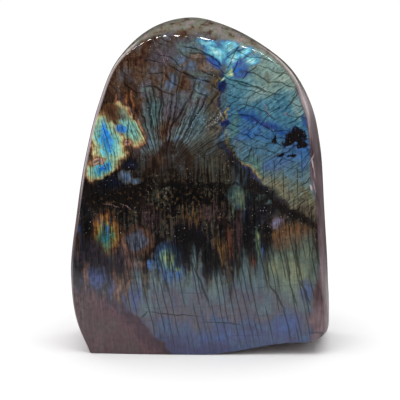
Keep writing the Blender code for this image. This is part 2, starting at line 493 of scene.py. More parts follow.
skin = pools(skin, SMOKE_AND_BROWN, rag, woven)
skin = pools(skin, FAN_ROOTS, rag * 0.8, woven)
skin = pools(skin, BLACK_ROOTS, rag)
skin = pools(skin, UPPER_LEFT, half_rag, woven)
blue_grit = grit.ease(0.56, 0.66) * pockets(loose, BLUE_GRIT_PATCH, 0.6)
skin = paint(skin, tone(*BLUE_GRIT), blue_grit)

# The shoulder's field: its flash runs through green, blue and gold from the top
# down, around a deep blue band, and a black blotch of another mineral breaks it
# near its right edge. Its lower edge has a thin golden fringe.
DEEP = (
    (0.0, (24, 50, 120)), (0.3, (28, 66, 130)), (0.6, (48, 94, 140, 0.6)), (1.0, (62, 112, 140, 0.0)),
)
PURPLE = ((0.0, (70, 44, 116)), (0.4, (48, 50, 116, 0.6)), (1.0, (30, 62, 130, 0.0)))
CYAN = (
    (0.0, (196, 244, 244)), (0.24, (140, 224, 238)), (0.46, (100, 190, 220)),
    (0.64, (72, 132, 184)), (0.9, (72, 104, 124, 0.0)),
)
AZURE = (
    (0.0, (34, 92, 196)), (0.35, (38, 94, 172)), (0.6, (64, 72, 150)), (0.95, (70, 110, 140, 0.0)),
)
BEIGE = ((0.0, (122, 114, 92)), (0.4, (104, 104, 88)), (0.9, (90, 106, 104, 0.0)))
GREEN = ((0.0, (88, 116, 92)), (0.4, (72, 112, 108)), (0.9, (62, 108, 130, 0.0)))
PALE = ((0.0, (160, 176, 164)), (0.4, (134, 156, 146)), (0.9, (104, 140, 142, 0.0)))
INK = ((0.0, (14, 10, 12)), (0.5, (20, 16, 20)), (0.62, (30, 40, 66)), (0.8, (40, 84, 132, 0.0)))
SHOULDER = (
    (loose, PALE, 0.6, (
        (37.0, 130.0, 7.0, 4.0, -45.0), (27.0, 124.0, 6.0, 3.0, 20.0), (44.0, 117.0, 5.0, 2.0, -60.0),
    )),
    (loose, DEEP, 0.9, (
        (21.5, 113.0, 7.0, 2.0, -22.0), (34.0, 107.4, 10.0, 1.8, -22.0), (47.5, 110.0, 1.0, 3.0),
    )),
    (loose, AZURE, 0.35, (
        (22.5, 106.0, 7.0, 1.8, 30.0), (37.5, 93.0, 8.0, 2.4, 30.0), (47.0, 96.0, 2.0, 5.0),
    )),
    (loose, PURPLE, 0.85, (
        (29.5, 108.6, 3.6, 0.9, -24.0), (24.0, 111.0, 1.4, 0.7, -20.0), (19.5, 133.6, 1.8, 1.2),
    )),
    (loose, GREEN, 0.8, ((14.4, 109.0, 1.8, 6.5, -8.0), (25.0, 88.5, 2.0, 6.0, 30.0))),
    (loose, BEIGE, 0.8, (
        (34.0, 80.5, 10.0, 2.4, -28.0), (30.5, 130.5, 1.0, 2.4, 10.0), (41.5, 76.0, 3.0, 2.6),
    )),
    (loose, CYAN, 1.0, (
        (6.0, 142.6, 4.6, 2.8, -30.0), (12.0, 145.0, 3.6, 2.2), (18.8, 141.6, 4.0, 1.6, 40.0),
    )),
    (loose, CYAN, 0.8, (
        (14.0, 139.0, 2.6, 3.6), (22.0, 138.0, 3.4, 1.8, 40.0), (2.0, 146.8, 4.0, 1.2, -10.0),
    )),
    (loose, AZURE, 0.95, ((16.8, 134.6, 3.2, 2.6, 40.0), (5.0, 138.0, 2.6, 1.5, -15.0))),
)
BLOTCH = (
    (43.0, 103.2, 3.6, 3.2), (39.4, 99.4, 2.2, 1.0, 30.0), (36.4, 95.4, 1.8, 0.7, 30.0),
    (33.6, 101.4, 0.7, 1.5), (46.6, 99.4, 1.6, 1.6), (41.4, 95.2, 1.4, 0.7),
)
FRINGE = ((18.0, 94.0, 15.0, 5.0, -52.0),)
FRINGE_BELOW = (-2.6, -1.2)
FRINGE_ABOVE = (2.0, 0.2)
FLASH_DEPTH = 80.0
FLASH_STEP = 0.016
flash_depth = x * 0.36 + z * 0.93 + cloudy * 30.0 + (slant_fibres - 0.5) * 7.0 + mottled * 8.0
flash = colours(
    (flash_depth - FLASH_DEPTH) * FLASH_STEP,
    (
        (0.03, (92, 84, 70)), (0.11, (104, 104, 82)), (0.19, (90, 106, 104)), (0.28, (76, 104, 120)),
        (0.38, (66, 106, 132)), (0.46, (52, 92, 132)), (0.53, (68, 112, 134)), (0.62, (64, 110, 132)),
        (0.74, (84, 130, 144)), (0.86, (120, 142, 132)), (0.98, (128, 156, 150)),
    ),
)
skin = paint(skin, flash, on_shoulder)
skin = pools(skin, SHOULDER, half_rag, woven)
skin = pool(skin, torn, BLOTCH, INK, mottled * 4.0 + half_rag * 0.6)
edge_fringe = colours(
    shoulder_edge * 0.1 + 0.5,
    (
        (0.22, (40, 32, 30)), (0.33, (44, 46, 92)), (0.42, (66, 74, 126)), (0.47, (112, 92, 66)),
        (0.51, (160, 136, 84)), (0.57, (124, 128, 96)), (0.72, (92, 116, 110)),
    ),
)
on_fringe = pockets(face, FRINGE, 0.4, 0.8)
on_fringe = on_fringe * shoulder_edge.ease(*FRINGE_BELOW) * shoulder_edge.ease(*FRINGE_ABOVE)
skin = paint(skin, edge_fringe, on_fringe)

# The seam: a crooked line of gold, navy and pale gleams that runs down between the
# fan and the shoulder, with a crumbly grey patch beside it.
GOLD = ((0.0, (176, 158, 92)), (0.35, (132, 110, 62)), (0.75, (80, 66, 48, 0.0)))
GLEAM = (
    (0.0, (206, 220, 190)), (0.3, (150, 170, 120)), (0.55, (84, 150, 164)), (0.85, (60, 90, 120, 0.0)),
)
NAVY = ((0.0, (18, 26, 70)), (0.45, (32, 44, 88)), (0.8, (56, 66, 80, 0.0)))
SEAM = (
    (loose, NAVY, 1.0, ((8.8, 126.6, 1.8, 1.8), (10.0, 109.8, 1.4, 1.9))),
    (loose, GLEAM, 1.0, ((12.4, 133.6, 0.6, 2.6, -16.0), (9.8, 129.4, 1.5, 0.5, 40.0))),
    (loose, GOLD, 1.0, (
        (6.4, 128.8, 2.6, 0.4, 40.0), (10.8, 115.0, 0.35, 3.2, -14.0), (8.6, 112.6, 0.3, 2.4, 20.0),
    )),
)
SEAM_LEFT = (-1.0, 4.0)
SEAM_RIGHT = (11.6, 10.2)
SEAM_FOOT = (98.0, 106.0)
SEAM_TOP = (137.0, 131.0)
CRUMB_GREY = (160, 162, 156)
CRUMBLY_PATCH = ((5.6, 110.8, 4.0, 2.0, 40.0),)
seam_colours = colours(
    x * 0.1 - 0.2 + (along(swirl, Z_AXIS) - 0.5) * 1.2,
    (
        (0.0, (70, 62, 48)), (0.2, (84, 66, 42)), (0.36, (56, 40, 32)), (0.5, (96, 82, 52)),
        (0.6, (44, 42, 58)), (0.72, (24, 34, 78)), (0.82, (84, 110, 116)), (0.9, (60, 96, 112)),
    ),
)
seam = x.ease(*SEAM_LEFT) * x.ease(*SEAM_RIGHT) * z.ease(*SEAM_FOOT) * z.ease(*SEAM_TOP)
skin = paint(skin, seam_colours, seam * (0.9 - in_fan * 0.2))
skin = pools(skin, SEAM, half_rag)
crumbs = grit.ease(0.55, 0.65) * pockets(loose, CRUMBLY_PATCH, 0.6) * 0.8
skin = paint(skin, tone(*CRUMB_GREY), crumbs)

# The eye: the brightest flash, at the left edge. It is blue within, then cyan, green,
# gold and rust. Brown licks hang over its top, and a dark blue night lies below.
EYE_LEFT = (
    (0.0, (28, 96, 186)), (0.12, (52, 142, 204)), (0.24, (104, 180, 188)), (0.36, (146, 184, 154)),
    (0.45, (186, 192, 144)), (0.51, (176, 146, 100)), (0.56, (100, 68, 48)), (0.66, (50, 32, 24, 0.0)),
)
EYE_RIGHT = (
    (0.0, (118, 180, 182)), (0.28, (132, 176, 154)), (0.40, (176, 174, 128)),
    (0.50, (158, 114, 80)), (0.58, (84, 62, 58)), (0.70, (60, 50, 48, 0.0)),
)
SPOT = ((0.0, (30, 112, 200)), (0.4, (50, 126, 196)), (0.8, (120, 190, 190, 0.0)))
RING = (
    (0.0, (84, 54, 44)), (0.16, (160, 130, 136)), (0.36, (176, 128, 92)), (0.52, (120, 76, 48)),
    (0.75, (110, 110, 80, 0.0)),
)
NIGHT = ((0.0, (20, 26, 48)), (0.45, (16, 16, 24)), (0.8, (28, 22, 20, 0.0)))
LICK_BROWN = ((0.0, (60, 38, 26)), (0.45, (84, 54, 34)), (0.75, (120, 90, 52, 0.0)))
EYE = (
    (loose, EYE_RIGHT, 1.0, ((-34.0, 107.5, 8.5, 5.2, -58.0), (-37.5, 112.0, 2.6, 7.0, 8.0))),
    (loose, EYE_LEFT, 1.0, ((-45.2, 101.5, 12.5, 7.4, -72.0), (-46.8, 89.2, 8.6, 4.4, 28.0))),
    (loose, SPOT, 0.9, ((-37.4, 106.4, 2.6, 1.6, -25.0), (-45.2, 105.6, 4.6, 1.2, -66.0))),
    (loose, RING, 0.9, ((-49.6, 91.8, 3.4, 1.4, 24.0), (-35.6, 101.0, 1.4, 1.4))),
    (torn, LICK_BROWN, 0.9, (
        (-43.0, 114.0, 5.4, 3.4), (-40.4, 110.2, 1.4, 1.8), (-31.2, 113.2, 1.0, 1.0),
    )),
    (loose, NIGHT, 0.9, (
        (-42.0, 82.0, 7.5, 3.2, 16.0), (-36.6, 84.4, 3.2, 3.2), (-34.0, 90.6, 4.4, 2.0),
    )),
    (loose, BLUE_GREY, 0.9, ((-36.4, 84.4, 2.4, 2.2), (-31.4, 83.6, 2.0, 1.4))),
)
skin = pools(skin, EYE, half_rag)

# The streaks: they hang down the middle in every colour, out of black roots, and
# fray into the field below. At the left are two eyes, one peacock and one dusky,
# and at the right a patch of amber.
MOSS = ((0.0, (140, 144, 92)), (0.3, (92, 116, 92)), (0.55, (56, 78, 76)), (0.85, (40, 46, 42, 0.0)))
OCHRE = ((0.0, (126, 92, 50)), (0.4, (90, 66, 40)), (0.8, (50, 36, 26, 0.0)))
RED = ((0.0, (112, 60, 36)), (0.4, (80, 44, 30)), (0.8, (40, 20, 18, 0.0)))
PLUM = ((0.0, (76, 58, 62)), (0.45, (56, 40, 40)), (0.85, (34, 24, 24, 0.0)))
PEACOCK = (
    (0.0, (48, 118, 136)), (0.2, (76, 128, 108)), (0.34, (136, 140, 80)), (0.46, (164, 112, 54)),
    (0.6, (88, 56, 32)), (0.78, (36, 22, 16, 0.0)),
)
DUSK = (
    (0.0, (96, 106, 124)), (0.34, (84, 90, 108)), (0.46, (90, 74, 74)), (0.56, (96, 66, 50)),
    (0.8, (46, 32, 26, 0.0)),
)
LEAF = (
    (0.0, (134, 150, 108)), (0.3, (98, 130, 120)), (0.52, (64, 98, 136)), (0.85, (40, 50, 84, 0.0)),
)
BLUE = ((0.0, (52, 104, 170)), (0.4, (60, 92, 146)), (0.85, (66, 78, 104, 0.0)))
UMBRA = ((0.0, (134, 102, 88)), (0.4, (96, 68, 54)), (0.8, (52, 38, 30, 0.0)))
AMBER = ((0.0, (128, 92, 58)), (0.3, (118, 78, 46)), (0.48, (98, 74, 52)), (0.7, (72, 66, 54, 0.0)))
LILAC = ((0.0, (120, 124, 156)), (0.4, (120, 108, 122)), (0.8, (98, 74, 60, 0.0)))
PITCH = ((0.0, (6, 5, 9)), (0.5, (10, 9, 14)), (0.66, (22, 22, 34)), (0.9, (40, 34, 34, 0.0)))
STREAKS = (
    (flame, MOSS, 0.9, ((17.6, 76.0, 4.4, 4.4), (25.6, 54.0, 1.3, 8.0), (14.4, 71.0, 1.0, 5.0))),
    (flame, OCHRE, 0.9, ((-5.0, 66.0, 5.0, 3.4), (8.2, 51.0, 2.8, 6.0), (-3.4, 41.5, 2.6, 3.6))),
    (flame, RED, 0.7, ((12.8, 53.0, 1.7, 7.5), (-59.0, 58.0, 0.8, 4.0), (23.2, 42.0, 1.0, 2.2))),
    (flame, PLUM, 0.9, ((16.6, 57.0, 1.8, 9.0), (4.0, 68.0, 5.0, 3.4), (-25.0, 66.0, 4.0, 5.0))),
    (loose, PEACOCK, 0.95, ((-46.0, 56.5, 6.2, 8.6), (-43.0, 45.0, 2.0, 4.0))),
    (loose, DUSK, 0.9, ((-31.4, 54.6, 5.8, 5.6),)),
    (loose, UMBRA, 1.0, ((-33.6, 43.6, 6.0, 2.8), (-37.4, 51.0, 1.4, 7.0, 10.0))),
    (loose, LEAF, 0.9, ((-16.4, 46.4, 4.6, 5.6), (-12.0, 41.0, 2.4, 2.6))),
    (loose, BLUE, 0.95, ((-24.4, 43.2, 1.6, 2.0), (-14.6, 37.4, 4.4, 2.4), (-58.0, 60.0, 0.8, 1.8))),
    (flame, OCHRE, 0.9, ((-59.8, 46.0, 1.3, 8.0, 2.0), (-54.0, 52.0, 1.0, 5.0))),
    (loose, AMBER, 0.95, ((41.0, 56.2, 10.0, 5.4, 12.0),)),
    (loose, LILAC, 0.85, ((35.0, 63.4, 3.4, 2.2, 10.0), (27.4, 64.6, 1.0, 2.4))),
    (flame, BLUE, 0.7, ((28.4, 47.0, 1.0, 3.0), (20.0, 69.0, 0.8, 2.0), (-45.6, 61.6, 2.6, 1.4))),
    (loose, PITCH, 0.95, (
        (-47.4, 46.8, 1.6, 6.6, 30.0), (24.0, 66.0, 2.2, 4.0), (27.6, 74.2, 6.0, 4.6, -25.0),
    )),
    (flame, PITCH, 0.95, (
        (-7.8, 53.5, 4.8, 8.0), (2.6, 47.5, 3.2, 8.0, 24.0), (20.6, 57.0, 1.8, 10.0),
    )),
    (flame, PITCH, 0.95, (
        (29.0, 56.0, 1.8, 9.0, 10.0), (17.6, 41.5, 2.2, 4.6, 10.0), (-55.0, 58.0, 2.4, 10.0),
    )),
    (loose, BLACK, 1.0, (
        (42.5, 67.4, 12.0, 2.0, -27.0), (20.4, 84.0, 7.0, 3.0, -50.0), (14.0, 93.0, 6.0, 3.0, -60.0),
    )),
    (torn, BLACK, 0.9, (
        (10.0, 100.0, 3.0, 2.6), (8.0, 80.5, 12.0, 0.7, 2.0), (-16.0, 81.5, 9.0, 1.0),
    )),
    (torn, TEAL_GREY, 0.9, ((28.1, 75.4, 1.8, 0.8, 20.0), (30.6, 72.4, 1.2, 0.8))),
)
STREAK_TOP = (72.0, 62.0)
STREAK_TIPS = (30.0, 46.0)
BAND_REACH = 44.0
TIP_REACH = 40.0
TIP_STEP = 0.13
streak_colours = colours(
    lanes * 0.75 + 0.12 + cloudy * 0.8 + mottled * 0.4,
    (
        (0.30, (7, 6, 8)), (0.40, (18, 13, 14)), (0.46, (42, 29, 22)), (0.51, (26, 24, 30)),
        (0.56, (54, 56, 50)), (0.61, (80, 62, 42)), (0.66, (42, 46, 62)), (0.72, (92, 84, 58)),
    ),
)
tips = flame_z + banded * BAND_REACH + line_noise(x * TIP_STEP, 1.0) * TIP_REACH - TIP_REACH / 2
skin = paint(skin, streak_colours, flame_z.ease(*STREAK_TOP) * tips.ease(*STREAK_TIPS))
skin = pools(skin, STREAKS, half_rag, woven)

# The lower field: calm and hazy, blue-grey, and greener at the right. Its corner at
# the lower left is dull mauve stone, ragged above and clean at the right.
SAGE = ((0.0, (120, 126, 100)), (0.35, (100, 112, 98)), (0.9, (82, 92, 92, 0.0)))
INDIGO = ((0.0, (60, 80, 132)), (0.4, (60, 72, 112)), (0.9, (66, 72, 92, 0.0)))
BRUISE = ((0.0, (52, 46, 84)), (0.5, (56, 56, 88)), (0.9, (60, 66, 90, 0.0)))
SHADOW = ((0.0, (28, 22, 24)), (0.45, (40, 34, 42)), (0.9, (60, 56, 72, 0.0)))
LOWER = (
    (loose, SAGE, 0.9, ((43.0, 40.0, 9.0, 12.0), (49.0, 50.0, 3.0, 6.0), (34.0, 42.0, 4.0, 7.0))),
    (loose, INDIGO, 0.7, (
        (6.0, 9.0, 18.0, 3.4, 3.0), (40.0, 14.0, 7.0, 5.0, 30.0), (49.0, 31.0, 2.4, 4.0),
    )),
    (loose, BRUISE, 0.7, ((-14.0, 6.0, 7.0, 3.0, -15.0),)),
    (flame, SHADOW, 0.95, ((-50.0, 38.0, 13.0, 10.5), (-40.0, 37.0, 4.0, 8.0))),
    (flame, INDIGO, 0.85, (
        (-51.0, 36.0, 4.5, 4.0), (-31.5, 26.5, 3.0, 3.6), (-43.0, 33.0, 1.4, 3.0),
    )),
    (flame, UMBRA, 0.7, (
        (-40.4, 33.4, 2.6, 5.4), (-35.4, 36.0, 1.4, 6.0), (-55.6, 38.0, 1.0, 6.0),
    )),
)
CORNER_HEIGHT = 12.2
CORNER_TOP_SLOPE = (0.30, 0.954)
CORNER_TOP_FADE = (-3.0, 4.0)
CORNER_REACH = -10.6
CORNER_SIDE_SLOPE = (0.737, 0.676)
CORNER_SIDE_FADE = (-0.8, 0.6)
lower_field = colours(
    z * 0.02 + 0.06 + cloudy * 1.5 + banded * 0.7,
    (
        (0.10, (56, 58, 96)), (0.24, (58, 80, 112)), (0.36, (68, 72, 96)), (0.48, (80, 75, 86)),
        (0.60, (74, 83, 96)), (0.74, (80, 96, 106)), (0.9, (88, 106, 108)),
    ),
)
skin = paint(skin, lower_field, tips.ease(*reversed(STREAK_TIPS)))
soft_rag = cloudy * 1.6 + half_rag * 0.3
skin = pools(skin, LOWER, soft_rag)
corner_top = CORNER_HEIGHT - x * CORNER_TOP_SLOPE[0] - flame_z * CORNER_TOP_SLOPE[1]
corner_side = CORNER_REACH - x * CORNER_SIDE_SLOPE[0] - z * CORNER_SIDE_SLOPE[1]
corner = colours(
    clouds * 0.6 + bands * 0.4 + mottled * 0.2 + corner_side.ease(0.0, 12.0, 0.26) - 0.2,
    (
        (0.28, (48, 26, 40)), (0.38, (64, 39, 50)), (0.46, (82, 54, 62)),
        (0.54, (76, 53, 58)), (0.62, (74, 60, 62)), (0.72, (94, 62, 70)),
    ),
)
skin = paint(skin, corner, corner_top.ease(*CORNER_TOP_FADE) * corner_side.ease(*CORNER_SIDE_FADE))


# Fibres, mottles and grit: the stone's fine texture cuts through every colour. It is
# calmest at the foot, and dark lanes deepen the belt and the streaks.
CALM_HEIGHTS = (50.0, 34.0)
CALM_SLOPE = 0.4
LANES_TOP = (97.0, 86.0)
LANE_TIPS = (34.0, 44.0)
LANES_RIGHT = (38.0, 22.0)
DARK_FOOT = (44.0, 56.0)
DARK_TOP = (94.0, 82.0)


def shade(colour, amount):
    """A colour made darker, or lighter where the amount is above 1."""
    return Wire.node(
        "ShaderNodeMix",
        {"data_type": "RGBA", "clamp_factor": False},
        {MIX_FACTOR: 1.0 - amount, MIX_UNDER: colour, MIX_OVER: (0.0, 0.0, 0.0, 1.0)},
        MIX_RESULT,
    )


calm = (z - x * CALM_SLOPE).ease(*CALM_HEIGHTS, 0.6)
strong = (1.0 - calm) * (1.0 - on_shoulder * 0.2) * (1.0 - quiet_top * 0.2)
texture = fibres.ease(0.3, 0.7) * 0.9 + mottle.ease(0.3, 0.7) * 0.7 - 0.8
skin = shade(skin, texture * strong + gritty * 0.5 + 1.0)
dark_lanes = lanes.ease(0.48, 0.36) * z.ease(*LANES_TOP) * tips.ease(*LANE_TIPS)
dark_lanes = dark_lanes * off_shoulder * x.ease(*LANES_RIGHT, 0.7)
skin = shade(skin, 1.0 - dark_lanes)
dark_belt = z.ease(*DARK_FOOT) * z.ease(*DARK_TOP) * off_shoulder * 0.25
skin = shade(skin, 1.0 - dark_belt)

# Cracks: dark lines where the cleavage has parted, under the polish. The many small
# ones run side by side, and the long ones are given by both ends' x and z, and
# half the width.
UPRIGHT_TOP = (100.0, 92.0)
UPRIGHT_FOOT = (42.0, 48.0)
FALLING_FOOT = (-6.0, 14.0)
FALLING_TOP = (62.0, 50.0)
FALLING_SIDE = (0.5, -1.0)
LEVEL_FOOT = (84.0, 96.0)
BROW_FOOT = (116.0, 124.0)
TIERS_TOP = (48.0, 38.0)
EYE_CRACKS = ((-42.0, 100.0, 15.0, 15.0),)
LONG_CRACKS = (
    (-15.9, 136.6, -10.8, 133.8, 0.5), (-10.8, 133.8, -1.4, 130.0, 0.5), (-1.4, 130.0, 3.8, 129.0, 0.4),
    (-9.0, 145.6, -1.4, 143.2, 0.4), (-1.4, 143.2, 5.2, 139.8, 0.45), (5.2, 139.8, 8.6, 136.8, 0.45),
    (10.6, 139.6, 17.8, 145.8, 0.4), (-24.9, 124.0, -24.4, 108.0, 0.5), (-18.8, 126.8, -20.7, 112.0, 0.5),
    (-6.6, 121.2, -15.5, 107.0, 0.6), (-1.4, 121.2, -7.0, 108.0, 0.55), (28.6, 121.0, 37.2, 126.4, 0.4),
    (38.0, 115.6, 44.6, 123.6, 0.4), (13.0, 129.8, 21.0, 127.8, 0.4), (21.0, 127.8, 30.0, 124.2, 0.4),
    (-24.4, 80.3, -4.0, 80.9, 0.55), (-4.0, 80.9, 12.0, 79.6, 0.55), (-35.2, 112.2, -35.2, 98.0, 0.35),
    (-21.4, 50.0, -18.9, 39.6, 0.5), (-18.9, 39.6, -16.0, 30.2, 0.4), (30.0, 46.2, 31.4, 34.8, 0.5),
    (31.4, 34.8, 38.4, 22.6, 0.45), (39.0, 50.0, 41.4, 34.0, 0.45), (41.4, 34.0, 44.0, 24.0, 0.4),
    (43.4, 56.0, 45.6, 36.0, 0.55), (45.6, 36.0, 51.0, 24.0, 0.45), (-30.0, 18.2, -26.0, 20.6, 0.3),
    (-26.0, 20.6, -2.0, 18.8, 0.3), (0.4, 16.1, 17.6, 14.8, 0.3), (-5.0, 44.0, 3.4, 24.0, 0.5),
)
LANE_MARGIN = 0.2
LANE_SHIFT = 7.31
SEED_SHIFT = 1.3
DARKEST_SHARE = 0.15
CRACK_END = 0.12


def strokes(place, rows, soft=0.45, strength=1.0):
    """A mask of thin strokes on the face: both ends' x and z, and half the width."""
    ellipses = []
    for x0, z0, x1, z1, half_width in rows:
        half_length = math.hypot(x1 - x0, z1 - z0) / 2
        turn = math.degrees(math.atan2(z1 - z0, x1 - x0))
        ellipses.append(((x0 + x1) / 2, (z0 + z1) / 2, half_length, half_width, turn))
    return pockets(place, ellipses, soft, strength)


def cracks(place, turn, gap, width, run, seed, kept, wander=0.5):
    """Cracks side by side: direction, gap, width, length, and how few are kept."""
    cos = math.cos(math.radians(turn))
    sin = math.sin(math.radians(turn))
    across = along(place, (cos / gap, 0.0, sin / gap))
    across = across + wander * grain(gap * 4.0, run * 0.6, seed, turn)
    lane = Wire.math("FLOOR", across)
    jitter = Wire.node("ShaderNodeTexWhiteNoise", {"noise_dimensions": "1D"}, {"W": lane + seed})
    aside = across - lane - LANE_MARGIN - jitter * (1.0 - 2.0 * LANE_MARGIN)
    away = Wire.math("ABSOLUTE", aside) * gap
    down = along(place, (-sin / run, 0.0, cos / run)) + lane * LANE_SHIFT + SEED_SHIFT * seed
    return away.ease(width, width * DARKEST_SHARE) * line_noise(down).ease(kept, kept + CRACK_END)


upright = cracks(flat, 1.5, gap=2.1, width=0.36, run=18.0, seed=1.0, kept=0.47)
upright = upright * z.ease(*UPRIGHT_TOP) * z.ease(*UPRIGHT_FOOT)
falling = cracks(flat, 12.0, gap=3.0, width=0.46, run=40.0, seed=2.0, kept=0.38, wander=0.8)
falling = falling * z.ease(*FALLING_FOOT) * z.ease(*FALLING_TOP) * corner_side.ease(*FALLING_SIDE)
steep = cracks(flat, 17.0, gap=1.7, width=0.34, run=14.0, seed=3.0, kept=0.44)
steep = steep * pockets(face, EYE_CRACKS, 0.3)
rising = cracks(flat, 130.0, gap=4.6, width=0.44, run=18.0, seed=4.0, kept=0.46, wander=2.4)
rising = rising * on_shoulder
level = cracks(flat, 72.0, gap=4.0, width=0.48, run=22.0, seed=5.0, kept=0.40, wander=2.4)
level = level * on_shoulder * z.ease(*LEVEL_FOOT, 0.9)
brow = cracks(flat, 66.0, gap=4.6, width=0.46, run=22.0, seed=9.0, kept=0.44, wander=2.4)
brow = brow * z.ease(*BROW_FOOT) * off_shoulder
fan_place = Wire.node("ShaderNodeCombineXYZ", {}, {"X": fan_angle, "Y": 0.0, "Z": fan_reach})
fanned = cracks(fan_place, 0.0, gap=2.9, width=0.5, run=16.0, seed=6.0, kept=0.34)
fanned = fanned * in_fan * off_shoulder
tiers = cracks(flat, 93.0, gap=8.0, width=0.22, run=40.0, seed=8.0, kept=0.44, wander=0.8)
tiers = tiers * z.ease(*TIERS_TOP, 0.6)
parted = Wire.math("MAXIMUM", strokes(drift, LONG_CRACKS), Wire.math("MAXIMUM", upright, falling))
parted = Wire.math("MAXIMUM", parted, Wire.math("MAXIMUM", steep, rising))
parted = Wire.math("MAXIMUM", parted, Wire.math("MAXIMUM", level, fanned))
parted = Wire.math("MAXIMUM", parted, Wire.math("MAXIMUM", brow, tiers))
skin = shade(skin, 1.0 - parted * 0.75)

# Healed veins are pale threads of newer mineral, though two short strokes among them,
# on the shoulder, are painted glints. Rusty grains lie in the belt, and white specks are
# painted glints, painted highlights of tiny flaws under the polish.
VEIN_AND_GLINT_PINK = (160, 132, 130)
# The two strokes at x 28 to 41, on the shoulder, are painted glints; the rest are healed veins.
VEINS_AND_GLINT_STROKES = (
    (-45.7, 72.4, -39.6, 70.5, 0.22), (-38.2, 71.9, -34.0, 69.1, 0.22), (-23.0, 148.0, -19.7, 141.4, 0.22),
    (-19.7, 141.4, -16.8, 136.8, 0.22), (-17.6, 140.0, -18.6, 128.0, 0.2), (28.4, 118.0, 31.0, 113.6, 0.4),
    (37.6, 114.6, 40.6, 113.8, 0.35),
)
RUST_BROWN = (104, 74, 42)
RUSTY_PATCHES = ((-33.0, 73.0, 16.0, 6.0), (-8.0, 70.0, 22.0, 7.0))
PAINTED_GLINT_WHITE = (206, 194, 190)
PAINTED_GLINTS_FOOT = (49.0, 60.0)
# Pale veins and painted glints, broken up by grit.
veins_and_painted_glints = strokes(drift, VEINS_AND_GLINT_STROKES, 0.8, 0.55) * grit.ease(0.44, 0.56)
skin = paint(skin, tone(*VEIN_AND_GLINT_PINK), veins_and_painted_glints)
rust = mottle.ease(0.56, 0.68) * pockets(loose, RUSTY_PATCHES, 0.5)
skin = paint(skin, tone(*RUST_BROWN), rust * 0.4)
# Painted glints: white specks of painted highlight in the dark parts above the foot.
painted_glints = grit.ease(0.69, 0.77) * clouds.ease(0.40, 0.52) * z.ease(*PAINTED_GLINTS_FOOT) * 0.8
skin = paint(skin, tone(*PAINTED_GLINT_WHITE), painted_glints)

# The sides, the top and the back show the dull stone, cut across its layers: mauve-grey
# with faint cleavage, greener at the top and painted lighter there, a painted sheen of the
# light from above, and only a little blue within the back.
# Two shallow chips on the right edge of the face show painted highlights, pale lines
# where their edges catch the light.
FACES_TOP = (0.2, 0.6)
FACES_BACK = (0.1, 0.55)
FACES_VIEWER = (-0.5, -0.85)
DEEP_PLACE = (0.07, 0.03, 0.05)
DULL_CORNER = ((61.5, 17.0, 10.4, 30.0),)
CHIP_HIGHLIGHT_WHITE = (196, 184, 188)
CHIP_HIGHLIGHTS = (
    (54.8, 97.2, 51.0, 92.6, 0.4), (51.0, 92.6, 52.4, 88.4, 0.35), (52.4, 88.4, 53.4, 82.6, 0.3),
    (50.2, 80.6, 50.8, 78.6, 0.5),
)


def deep_grain(across, deep, upright, detail=2.0):
    """Noise through the whole stone: its sizes in millimetres."""
    stretched = Wire.node(
        "ShaderNodeMapping",
        {"vector_type": "TEXTURE"},
        {
            "Vector": on_stone,
            "Location": DEEP_PLACE,
            "Scale": (across * MM, deep * MM, upright * MM),
        },
    )
    return noise_texture(stretched, detail)


deep_clouds = deep_grain(18.0, 14.0, 20.0, 4.0)
deep_fibres = deep_grain(0.9, 3.0, 8.0, 3.0)
dull = colours(
    deep_clouds + (deep_fibres - 0.5) * 0.2,
    ((0.34, (64, 46, 50)), (0.47, (90, 70, 74)), (0.56, (108, 88, 94)), (0.68, (90, 82, 84))),
)
# The top's own green-grey stone, painted lighter than the sides as a painted sheen from above.
top_stone_and_sheen = colours(
    deep_grain(4.0, 6.0, 3.6, 6.0),
    (
        (0.32, (56, 40, 34)), (0.41, (92, 76, 66)), (0.48, (114, 106, 90)),
        (0.55, (106, 114, 100)), (0.62, (128, 112, 116)), (0.70, (142, 128, 112)),
    ),
)
# Painted sheen: the up-facing top takes the lighter colours.
dull = paint(dull, top_stone_and_sheen, up.ease(*FACES_TOP))
back_stone = colours(
    deep_grain(22.0, 20.0, 36.0, 5.0),
    (
        (0.36, (46, 40, 38)), (0.45, (76, 70, 68)), (0.52, (74, 84, 82)),
        (0.58, (60, 90, 104)), (0.64, (92, 96, 88)), (0.72, (104, 88, 70)),
    ),
)
dull = paint(dull, back_stone, back.ease(*FACES_BACK))
dull = shade(dull, 0.35 + deep_fibres * 0.9 + deep_grain(0.9, 0.9, 1.1, 3.0) * 0.4)
back_cracks = cracks(flat, -8.0, gap=6.0, width=0.4, run=16.0, seed=7.0, kept=0.5)
back_cracks = back_cracks * back.ease(0.0, 0.4)
across_cracks = cracks(flat, 62.0, gap=11.0, width=0.4, run=14.0, seed=8.0, kept=0.55, wander=0.9)
across_cracks = across_cracks * back.ease(0.0, 0.4)
top_cracks = cracks(flat, -35.0, gap=7.0, width=0.4, run=16.0, seed=10.0, kept=0.54, wander=1.8)
top_cracks = top_cracks * up.ease(0.3, 0.6)
deep_y = along(on_stone, (0.0, 1.0 / MM, 0.0))
deep_z = along(on_stone, (0.0, 0.0, 1.0 / MM))
side_place = Wire.node("ShaderNodeCombineXYZ", {}, {"X": deep_y, "Y": 0.0, "Z": deep_z})
side_cracks = cracks(side_place, 6.0, gap=6.0, width=0.4, run=16.0, seed=11.0, kept=0.5, wander=1.2)
side_cracks = side_cracks * back.ease(0.5, 0.2)
dull_cracks = Wire.math("MAXIMUM", back_cracks, across_cracks)
dull_cracks = Wire.math("MAXIMUM", dull_cracks, Wire.math("MAXIMUM", top_cracks, side_cracks))
dull = shade(dull, 1.0 - dull_cracks * 0.6)
facing = back.ease(*FACES_VIEWER)
off_corner = squares(loose, DULL_CORNER).ease(0.75, 1.2)
skin = paint(dull, skin, facing * off_corner)
# Painted highlights along the edges of the two chips.
skin = paint(skin, tone(*CHIP_HIGHLIGHT_WHITE), strokes(drift, CHIP_HIGHLIGHTS, 0.7, 0.85) * back.ease(-0.2, -0.5))

